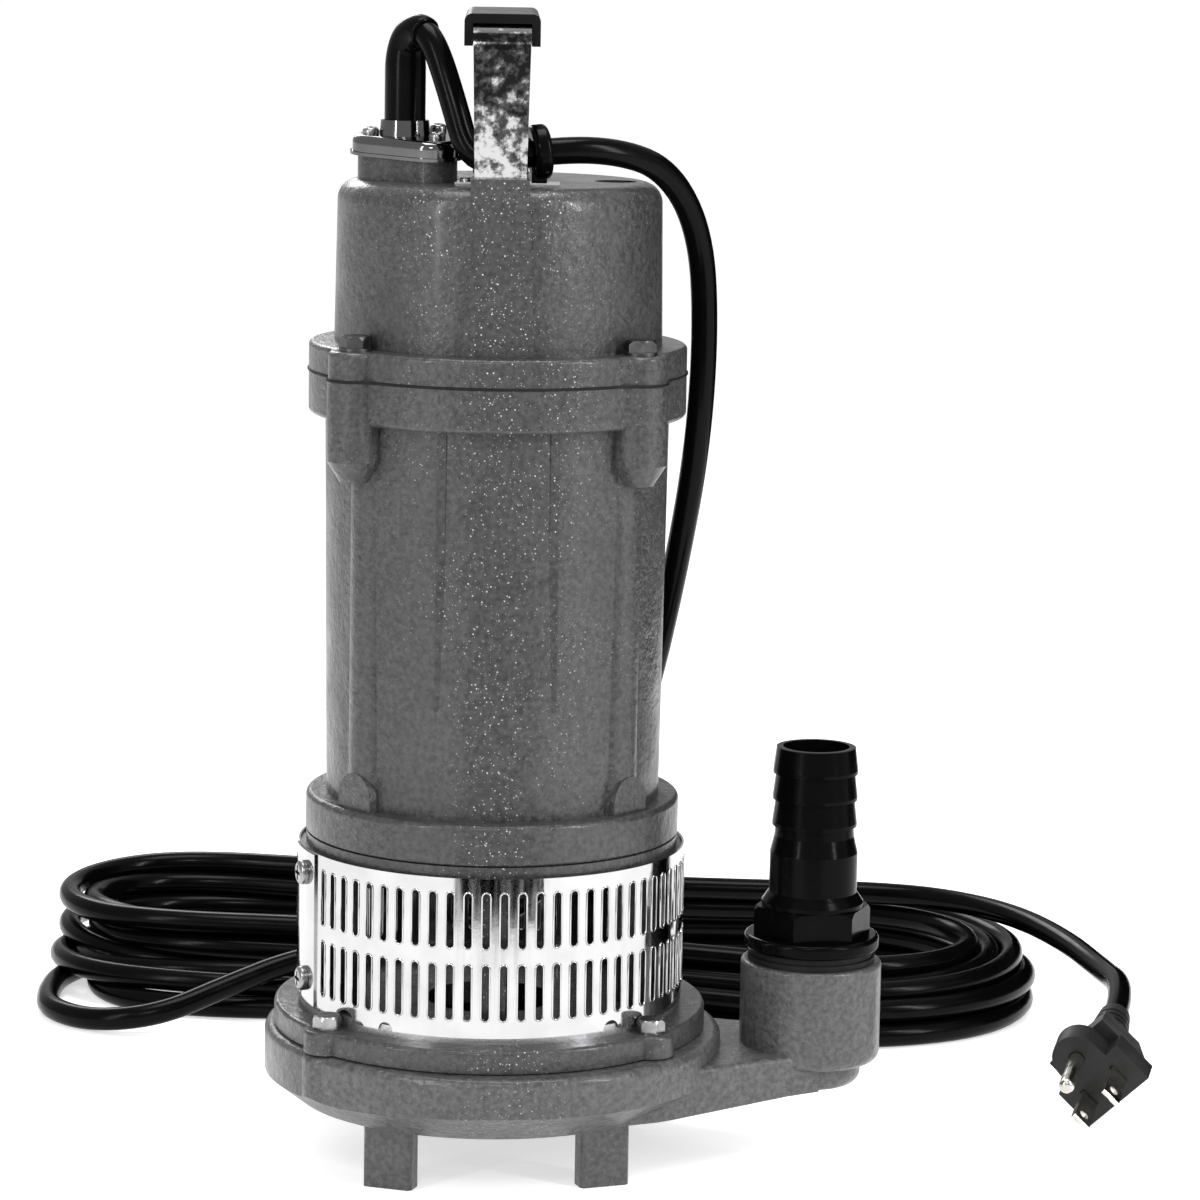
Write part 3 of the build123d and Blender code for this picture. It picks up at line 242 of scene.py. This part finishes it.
def cord_curve(name, places):
    data = bpy.data.curves.new(name, "CURVE")
    data.dimensions = "3D"
    data.resolution_u = 8
    # The thickness is each point's own radius, because a curve's bounds are taken from that
    data.bevel_depth = 1.0
    data.bevel_resolution = 6
    data.use_fill_caps = True
    spline = data.splines.new("NURBS")
    spline.points.add(len(places) - 1)
    for point, place in zip(spline.points, places):
        point.co = (place[0] * MM, place[1] * MM, place[2] * MM, 1.0)
        point.radius = CORD_R * MM
    spline.order_u = 3
    spline.use_endpoint_u = True
    piece = bpy.data.objects.new(name, data)
    bpy.context.collection.objects.link(piece)
    return piece


def centreline(piece):
    # The points of a cord's own line, with no thickness
    bare = piece.copy()
    bare.data = piece.data.copy()
    bare.data.bevel_depth = 0.0
    mesh = bpy.data.meshes.new_from_object(bare)
    line = [v.co.copy() for v in mesh.vertices]
    bpy.data.objects.remove(bare)
    bpy.data.meshes.remove(mesh)
    return line


def add_cord():
    coil = LEAD_DOWN + coil_turns()
    coil += long_side(coil[-1], PLUG_ROUTE[0], 3)
    coil = settled(UPPER_ROUTE[-5:], coil, PLUG_ROUTE)
    cord = cord_curve("mains_cord", UPPER_ROUTE + coil + PLUG_ROUTE)
    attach(cord, "pump")
    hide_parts("cord_upper_run", "cord_coil", "cord_plug_run")
    return cord


# ---------------------------------------------------------------- mesh helpers

def mesh_piece(name, verts, faces, body, smooth=True):
    mesh = bpy.data.meshes.new(name)
    mesh.from_pydata(verts, [], faces)
    mesh.validate()
    for polygon in mesh.polygons:
        polygon.use_smooth = smooth
    piece = bpy.data.objects.new(name, mesh)
    bpy.context.collection.objects.link(piece)
    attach(piece, body)
    return piece


def tube_rings(line, radii, sides, closed=False):
    # Vertices and faces of a tube round a line, each ring square to it
    verts = []
    faces = []
    count = len(line)
    side = None
    for i, place in enumerate(line):
        before = line[i - 1] if closed or i > 0 else place
        after = line[(i + 1) % count] if closed or i < count - 1 else place
        ahead = (after - before).normalized()
        if side is None:
            side = ahead.orthogonal().normalized()
        side = (side - ahead * side.dot(ahead)).normalized()
        up = ahead.cross(side)
        for k in range(sides):
            turn = 2 * math.pi * k / sides
            verts.append(place + (side * math.cos(turn) + up * math.sin(turn)) * radii[i])
    rings = count if closed else count - 1
    for i in range(rings):
        j = (i + 1) % count
        for k in range(sides):
            n = (k + 1) % sides
            faces.append((i * sides + k, i * sides + n, j * sides + n, j * sides + k))
    return verts, faces


# ---------------------------------------------------------------- detail pieces

SLEEVE_LONG = 36.0
SLEEVE_R = 5.95
SLEEVE_TAPER = 1.35
TAPER_FROM = 0.55
SLEEVE_SIDES = 28
CORD_HOLE_R = 3.6


def sleeve_tube(line, radii):
    # A tube round a line, with each end closed down to the cord inside it
    verts, faces = tube_rings(line, radii, SLEEVE_SIDES)
    for ring, outward in ((0, False), (len(line) - 1, True)):
        first = ring * SLEEVE_SIDES
        base = len(verts)
        for k in range(SLEEVE_SIDES):
            verts.append(line[ring] + (verts[first + k] - line[ring]).normalized() * CORD_HOLE_R * MM)
        for k in range(SLEEVE_SIDES):
            n = (k + 1) % SLEEVE_SIDES
            face = (first + k, first + n, base + n, base + k)
            faces.append(face if outward else face[::-1])
    return verts, faces


def add_strain_relief(line):
    # A rubber sleeve that follows the cord's own line out of the gland and tapers towards its end
    places = [line[0]]
    walked = [0.0]
    for before, after in zip(line, line[1:]):
        walked.append(walked[-1] + (after - before).length / MM)
        places.append(after)
        if walked[-1] > SLEEVE_LONG:
            break
    radii = []
    for along in walked:
        tapered = max(0.0, along / walked[-1] - TAPER_FROM) / (1.0 - TAPER_FROM)
        radii.append((SLEEVE_R - SLEEVE_TAPER * tapered) * MM)
    verts, faces = sleeve_tube(places, radii)
    sleeve = mesh_piece("strain_relief", verts, faces, "pump")
    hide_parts("cable_sleeve")


BAND_R = 57.2
SLOT_FIRST = -58.4
SLOT_PITCH = 5.2
SLOT_COUNT = 58
SLOT_WIDE = 2.5
SLOT_ROWS = [(53.8, 70.5), (74.9, 91.5)]
RIM_R = 0.28
RIM_OUT = 0.02


def on_band(across, z, start):
    turn = math.radians(start) + across / BAND_R
    radius = BAND_R + RIM_OUT
    return Vector((radius * math.cos(turn), radius * math.sin(turn), z)) * MM


def add_slot_rims():
    # The thin turned-up edge that pressing leaves round each slot
    verts = []
    faces = []
    for number in range(SLOT_COUNT):
        # The slots run round from the front's left; 0 degrees there is straight ahead
        start = -90.0 + SLOT_FIRST + number * SLOT_PITCH
        for low, high in SLOT_ROWS:
            half = SLOT_WIDE / 2
            loop = []
            for level, first in ((high - half, 0), (low + half, 180)):
                for step in range(6):
                    turn = math.radians(first + 180 * step / 5)
                    loop.append(on_band(half * math.cos(turn), level + half * math.sin(turn), start))
            ring, quads = tube_rings(loop, [RIM_R * MM] * len(loop), 6, closed=True)
            base = len(verts)
            verts += ring
            faces += [tuple(base + i for i in quad) for quad in quads]
    mesh_piece("slot_rims", verts, faces, "pump")


BEAD_R = 0.45
FLANGE_INSIDE = 0.054
LEVEL_SLACK = 0.0003
BEAD_STEP = 2.0


def add_joint_bead():
    # Dark sealant squeezed out all round the joint between the casing and the cover
    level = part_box("top_cover")[0][2]
    furthest = {}
    for vertex in bpy.data.objects["motor_casing"].data.vertices:
        turn = round(math.degrees(math.atan2(vertex.co.y, vertex.co.x)) / BEAD_STEP) % 180
        reach = math.hypot(vertex.co.x, vertex.co.y)
        if abs(vertex.co.z - level) < LEVEL_SLACK and reach > furthest.get(turn, (FLANGE_INSIDE, None))[0]:
            furthest[turn] = (reach, vertex.co)
    loop = [Vector((place.x, place.y, level)) for turn, (reach, place) in sorted(furthest.items())]
    verts, faces = tube_rings(loop, [BEAD_R * MM] * len(loop), 8, closed=True)
    mesh_piece("joint_sealant", verts, faces, "pump")


SPRING_WIRE_R = 0.7
SPRING_TURNS = 5
SPRING_STEPS = 24


def add_seal_spring():
    # The mechanical seal's coil spring, in the space of the CAD sleeve
    low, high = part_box("seal_spring")
    middle = (Vector(low) + Vector(high)) / 2
    wire = SPRING_WIRE_R * MM
    radius = (high[0] - low[0]) / 2 - wire
    line = []
    for step in range(SPRING_TURNS * SPRING_STEPS + 1):
        t = step / (SPRING_TURNS * SPRING_STEPS)
        turn = 2 * math.pi * SPRING_TURNS * t
        line.append(Vector((middle.x + radius * math.cos(turn), middle.y + radius * math.sin(turn),
                            low[2] + wire + (high[2] - low[2] - 2 * wire) * t)))
    verts, faces = tube_rings(line, [wire] * len(line), 8)
    spring = mesh_piece("seal_coil_spring", verts, faces, "rotor")
    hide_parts("seal_spring")


# ---------------------------------------------------------------- materials

def blank(name):
    material = bpy.data.materials.new(name)
    material.use_nodes = True
    tree = material.node_tree
    tree.nodes.clear()
    output = tree.nodes.new("ShaderNodeOutputMaterial")
    shader = tree.nodes.new("ShaderNodeBsdfPrincipled")
    tree.links.new(shader.outputs[0], output.inputs[0])
    return material, tree, shader


def place_vector(tree, stretch=(1.0, 1.0, 1.0)):
    coordinate = tree.nodes.new("ShaderNodeTexCoord")
    mapping = tree.nodes.new("ShaderNodeMapping")
    mapping.inputs["Scale"].default_value = stretch
    tree.links.new(coordinate.outputs["Object"], mapping.inputs["Vector"])
    return mapping.outputs[0]


def noise(tree, scale, detail=3.0, stretch=(1.0, 1.0, 1.0), roughness=0.5):
    texture = tree.nodes.new("ShaderNodeTexNoise")
    texture.inputs["Scale"].default_value = scale
    texture.inputs["Detail"].default_value = detail
    texture.inputs["Roughness"].default_value = roughness
    tree.links.new(place_vector(tree, stretch), texture.inputs["Vector"])
    return texture.outputs["Fac"]


def cells(tree, scale):
    texture = tree.nodes.new("ShaderNodeTexVoronoi")
    texture.inputs["Scale"].default_value = scale
    tree.links.new(place_vector(tree), texture.inputs["Vector"])
    return texture.outputs["Distance"]


def bands(tree, scale, direction="Z", distortion=0.0):
    texture = tree.nodes.new("ShaderNodeTexWave")
    texture.bands_direction = direction
    texture.inputs["Scale"].default_value = scale
    texture.inputs["Distortion"].default_value = distortion
    tree.links.new(place_vector(tree), texture.inputs["Vector"])
    return texture.outputs["Fac"]


def off_centre(tree):
    # 0 in the plane of the handle's ribs, 1 at ten centimetres from it
    coordinate = tree.nodes.new("ShaderNodeTexCoord")
    parts = tree.nodes.new("ShaderNodeSeparateXYZ")
    size = tree.nodes.new("ShaderNodeMath")
    size.operation = "ABSOLUTE"
    tree.links.new(coordinate.outputs["Object"], parts.inputs[0])
    tree.links.new(parts.outputs["X"], size.inputs[0])
    return calculated(tree, size.outputs[0], 10.0)


def ramp(tree, value, stops):
    node = tree.nodes.new("ShaderNodeValToRGB")
    elements = node.color_ramp.elements
    while len(elements) < len(stops):
        elements.new(0.5)
    for element, (at, level) in zip(elements, stops):
        element.position = at
        colour = level if isinstance(level, tuple) else (level, level, level)
        element.color = (*colour, 1.0)
    tree.links.new(value, node.inputs[0])
    return node.outputs[0]


def mixed(tree, factor, first, second, mode="MIX"):
    node = tree.nodes.new("ShaderNodeMix")
    node.data_type = "RGBA"
    node.blend_type = mode
    for socket, value in ((node.inputs[0], factor), (node.inputs[6], first), (node.inputs[7], second)):
        if isinstance(value, (int, float)):
            socket.default_value = value
        elif isinstance(value, tuple):
            socket.default_value = (*value, 1.0)
        else:
            tree.links.new(value, socket)
    return node.outputs[2]


def calculated(tree, first, second, operation="MULTIPLY"):
    node = tree.nodes.new("ShaderNodeMath")
    node.operation = operation
    for socket, value in ((node.inputs[0], first), (node.inputs[1], second)):
        if isinstance(value, (int, float)):
            socket.default_value = value
        else:
            tree.links.new(value, socket)
    return node.outputs[0]


def bump(tree, shader, layers):
    # Each layer is a height and its depth in millimetres
    normal = None
    for height, depth in layers:
        node = tree.nodes.new("ShaderNodeBump")
        node.inputs["Distance"].default_value = depth * MM
        tree.links.new(height, node.inputs["Height"])
        if normal is not None:
            tree.links.new(normal, node.inputs["Normal"])
        normal = node.outputs[0]
    tree.links.new(normal, shader.inputs["Normal"])


def grey(level):
    return (level, level, level * 1.01)


def painted(name, level, glint_amount, peel=0.16, rough=0.36):
    # Enamel over sand-cast iron: uneven tone, heavy orange peel, and fine bright specks painted into the colour as
    # highlights, standing in for lamp glints on the peel and thickest near the plane of the handle's ribs
    material, tree, shader = blank(name)
    tone = ramp(tree, noise(tree, 26, 4),
                [(0.30, grey(level * 0.84)), (0.55, grey(level)), (0.78, grey(level * 1.20))])
    grit = ramp(tree, noise(tree, 620, 3, roughness=0.6), [(0.32, 0.45), (0.50, 1.0), (0.66, 1.5)])
    tone = mixed(tree, 0.75, tone, grit, "MULTIPLY")
    # Painted highlights: this mask sets where the bright specks (grey 0.62) are mixed into the colour, thickest
    # within about a centimetre and a half of the ribs' plane
    where = ramp(tree, noise(tree, 34, 3), [(0.44, 0.0), (0.64, glint_amount)])
    where = calculated(tree, where, ramp(tree, off_centre(tree), [(0.14, 1.0), (0.30, 0.22)]))
    where = calculated(tree, where, ramp(tree, off_centre(tree), [(0.06, glint_amount * 0.8), (0.13, 0.0)]), "MAXIMUM")
    for scale, reach in ((560, 0.13), (980, 0.12)):
        glint_dots = ramp(tree, cells(tree, scale), [(0.0, 1.0), (reach * 0.7, 1.0), (reach * 1.25, 0.0)])
        tone = mixed(tree, calculated(tree, glint_dots, where), tone, grey(0.62))
    tree.links.new(tone, shader.inputs["Base Color"])
    gloss = ramp(tree, noise(tree, 60, 3), [(0.3, rough - 0.09), (0.7, rough + 0.10)])
    tree.links.new(gloss, shader.inputs["Roughness"])
    shader.inputs["Specular IOR Level"].default_value = 0.38
    shader.inputs["Coat Weight"].default_value = 0.15
    shader.inputs["Coat Roughness"].default_value = 0.12
    bump(tree, shader, [(noise(tree, 55, 3), 1.0), (noise(tree, 380, 3), peel * 2.6),
                        (noise(tree, 1100, 2), peel)])
    return material


def polished(name, level, wave, reflection_blotch_scale=None, rough=0.10):
    # Bright sheet steel, slightly uneven where it has been rolled or bent
    material, tree, shader = blank(name)
    if reflection_blotch_scale:
        # Duller towards the grip, brighter towards the foot
        coordinate = tree.nodes.new("ShaderNodeTexCoord")
        # Painted reflection: the steel's colour runs from near black at the grip to bright at the foot, in
        # blotches, standing in for the dark and bright surroundings the strap reflects
        parts = tree.nodes.new("ShaderNodeSeparateXYZ")
        tree.links.new(coordinate.outputs["Object"], parts.inputs[0])
        height = calculated(tree, calculated(tree, parts.outputs["Z"], -6.0), 1.89, "ADD")
        reflection_clouds = calculated(tree, noise(tree, reflection_blotch_scale, 7, roughness=0.68), height, "ADD")
        tone = ramp(tree, reflection_clouds, [(0.40, 0.02), (0.53, 0.13), (0.64, 0.80)])
    else:
        tone = ramp(tree, noise(tree, 90, 4), [(0.3, level * 0.86), (0.7, level)])
    tree.links.new(tone, shader.inputs["Base Color"])
    shader.inputs["Metallic"].default_value = 1.0
    scratch = ramp(tree, noise(tree, 500, 2, (1.0, 1.0, 0.06)), [(0.35, rough * 0.7), (0.7, rough * 1.6)])
    tree.links.new(scratch, shader.inputs["Roughness"])
    bump(tree, shader, [(noise(tree, 16, 2), wave), (noise(tree, 260, 3), 0.012)])
    return material


def dull_metal(name, colour, rough=0.40, grain=420, depth=0.05, metallic=1.0):
    material, tree, shader = blank(name)
    dark = tuple(v * 0.60 for v in colour)
    tree.links.new(ramp(tree, noise(tree, 190, 5), [(0.32, dark), (0.62, colour)]), shader.inputs["Base Color"])
    shader.inputs["Metallic"].default_value = metallic
    gloss = ramp(tree, noise(tree, 240, 3), [(0.3, rough * 0.75), (0.7, rough * 1.3)])
    tree.links.new(gloss, shader.inputs["Roughness"])
    bump(tree, shader, [(noise(tree, grain, 3), depth)])
    return material


def moulded(name, level, rough, grain=700, depth=0.03, specular=0.5):
    # Plastic or rubber out of a mould: faint flow marks, fine skin texture
    material, tree, shader = blank(name)
    tone = ramp(tree, noise(tree, 60, 4), [(0.3, level * 0.75), (0.7, level * 1.25)])
    tree.links.new(tone, shader.inputs["Base Color"])
    gloss = ramp(tree, noise(tree, 150, 4), [(0.3, rough * 0.8), (0.72, rough * 1.3)])
    tree.links.new(gloss, shader.inputs["Roughness"])
    shader.inputs["Specular IOR Level"].default_value = specular
    bump(tree, shader, [(noise(tree, grain, 2), depth)])
    return material


def ribbed_metal(name, dark, light, scale, direction, rough, depth):
    # Stacked sheets, turned grooves or wound wire: fine bands one way
    material, tree, shader = blank(name)
    lines = bands(tree, scale, direction, 0.6)
    tree.links.new(mixed(tree, lines, dark, light), shader.inputs["Base Color"])
    shader.inputs["Metallic"].default_value = 0.9
    gloss = ramp(tree, noise(tree, 180, 3), [(0.3, rough * 0.8), (0.7, rough * 1.2)])
    tree.links.new(gloss, shader.inputs["Roughness"])
    bump(tree, shader, [(lines, depth)])
    return material


def make_materials():
    return {
        # The third number is the amount of painted highlight specks in each paint
        "cast_paint": painted("cast_paint", 0.042, 0.8),
        "cover_paint": painted("cover_paint", 0.042, 1.0),
        "volute_paint": painted("volute_paint", 0.064, 0.5),
        "stainless": polished("stainless", 0.52, 0.55, rough=0.09),
        # The strap's colour carries painted reflections, dark at the grip and bright at the foot
        "strap_steel": polished("strap_steel", 0.80, 0.5, reflection_blotch_scale=300, rough=0.13),
        # Painted reflection: the gland cap's steel is given a dark colour, far below the other steels, standing in
        # for the dark surroundings it reflects
        "gland_steel_painted_dark": polished("gland_steel_painted_dark", 0.17, 1.2, rough=0.10),
        "zinc_bolts": dull_metal("zinc_bolts", (0.11, 0.11, 0.11), 0.36),
        "bright_bolts": dull_metal("bright_bolts", (0.34, 0.34, 0.34), 0.28),
        "black_plastic": moulded("black_plastic", 0.0015, 0.20, specular=0.05),
        "grip_plastic": moulded("grip_plastic", 0.004, 0.32, specular=0.12),
        "cord_rubber": moulded("cord_rubber", 0.0015, 0.20, 900, 0.012, specular=0.07),
        "plug_plastic": moulded("plug_plastic", 0.012, 0.50, 1100, 0.06, specular=0.25),
        "brass_pins": dull_metal("brass_pins", (0.72, 0.70, 0.64), 0.20, 500, 0.01),
        "gasket": moulded("gasket", 0.006, 0.62, 800, 0.05, specular=0.2),
        "machined_steel": ribbed_metal("machined_steel", (0.40, 0.40, 0.41), (0.62, 0.62, 0.63), 900, "Z",
                                       0.26, 0.01),
        "bearing_steel": polished("bearing_steel", 0.80, 0.02, rough=0.08),
        "cast_iron": dull_metal("cast_iron", (0.09, 0.088, 0.085), 0.62, 380, 0.25, 0.8),
        "lamination": ribbed_metal("lamination", (0.16, 0.17, 0.19), (0.36, 0.37, 0.39), 640, "Z", 0.42, 0.06),
        "copper": ribbed_metal("copper", (0.30, 0.10, 0.04), (0.72, 0.32, 0.15), 420, "DIAGONAL", 0.28, 0.25),
        "aluminium": dull_metal("aluminium", (0.70, 0.70, 0.71), 0.30, 300, 0.02),
        "ceramic": moulded("ceramic", 0.62, 0.28, 500, 0.01),
        "white_plastic": moulded("white_plastic", 0.66, 0.42),
    }


# ---------------------------------------------------------------- stage and light

def plane_object(name, corners, colour, rough, emission=0.0):
    mesh = bpy.data.meshes.new(name)
    mesh.from_pydata([Vector(c) for c in corners], [], [(0, 1, 2, 3)])
    thing = bpy.data.objects.new(name, mesh)
    bpy.context.collection.objects.link(thing)
    material, tree, shader = blank(name)
    shader.inputs["Base Color"].default_value = (colour, colour, colour, 1.0)
    shader.inputs["Roughness"].default_value = rough
    shader.inputs["Specular IOR Level"].default_value = 0.0
    if emission:
        shader.inputs["Emission Color"].default_value = (1.0, 1.0, 1.0, 1.0)
        shader.inputs["Emission Strength"].default_value = emission
    mesh.materials.append(material)
    return thing


def dark_card(name, corners):
    # Black card that only the bright metal and the gloss reflect
    card = plane_object(name, corners, 0.0, 1.0)
    card.visible_camera = False
    card.visible_diffuse = False
    card.visible_shadow = False
    card.visible_transmission = False


def area_light(name, place, aim, wide, high, power):
    data = bpy.data.lights.new(name, "AREA")
    data.shape = "RECTANGLE"
    data.size = wide
    data.size_y = high
    data.energy = power
    lamp = bpy.data.objects.new(name, data)
    bpy.context.collection.objects.link(lamp)
    lamp.location = place
    lamp.rotation_euler = (Vector(aim) - Vector(place)).to_track_quat("-Z", "Y").to_euler()


def add_stage():
    plane_object("floor", [(-40, -40, 0), (40, -40, 0), (40, 40, 0), (-40, 40, 0)], 0.80, 0.9, 0.58)
    dark_card("floor_card", [(-0.14, -0.385, 0.001), (0.22, -0.385, 0.001), (0.60, -1.15, 0.001),
                             (-0.40, -1.15, 0.001)])
    dark_card("right_card", [(0.75, 0.10, 0.0), (0.30, 1.10, 0.0), (0.30, 1.10, 0.7), (0.75, 0.10, 0.7)])
    world = bpy.data.worlds.new("studio")
    world.use_nodes = True
    world.node_tree.nodes["Background"].inputs["Color"].default_value = (1.0, 1.0, 1.0, 1.0)
    world.node_tree.nodes["Background"].inputs["Strength"].default_value = 0.55
    bpy.context.scene.world = world
    area_light("left_strip", (-0.75, -0.80, 0.62), (0, 0, 0.16), 0.08, 0.9, 5.0)
    area_light("right_strip", (0.90, -0.60, 0.70), (0, 0, 0.16), 0.08, 0.9, 9.0)
    area_light("front_box", (-0.15, -1.35, 1.05), (0, 0, 0.20), 0.22, 0.22, 4.0)
    area_light("top_box", (0.0, 0.05, 1.2), (0, 0, 0.2), 0.6, 0.5, 8.0)
    area_light("back_box", (-0.35, 1.25, 0.85), (0, 0, 0.15), 0.5, 0.5, 6.0)
    scene = bpy.context.scene
    scene.view_settings.view_transform = "Standard"
    scene.view_settings.look = "None"
    scene.view_settings.exposure = 0.0
    scene.view_settings.gamma = 1.0


# ---------------------------------------------------------------- the scene

add_camera()
cord = add_cord()
line = centreline(cord)
add_strain_relief(line)
add_slot_rims()
add_joint_bead()
add_seal_spring()
add_stage()

materials = make_materials()
for row in frame["record"]["subparts"]:
    thing = bpy.data.objects[row["node"]]
    thing.data.materials.clear()
    # The gland cap takes the steel painted dark for its reflections
    thing.data.materials.append(materials["gland_steel_painted_dark" if row["node"] == "gland_cap" else row["material_slot"]])
for name, slot in (("mains_cord", "cord_rubber"), ("strain_relief", "cord_rubber"), ("slot_rims", "stainless"),
                   ("joint_sealant", "gasket"), ("seal_coil_spring", "machined_steel")):
    bpy.data.objects[name].data.materials.append(materials[slot])

bpy.context.view_layer.update()
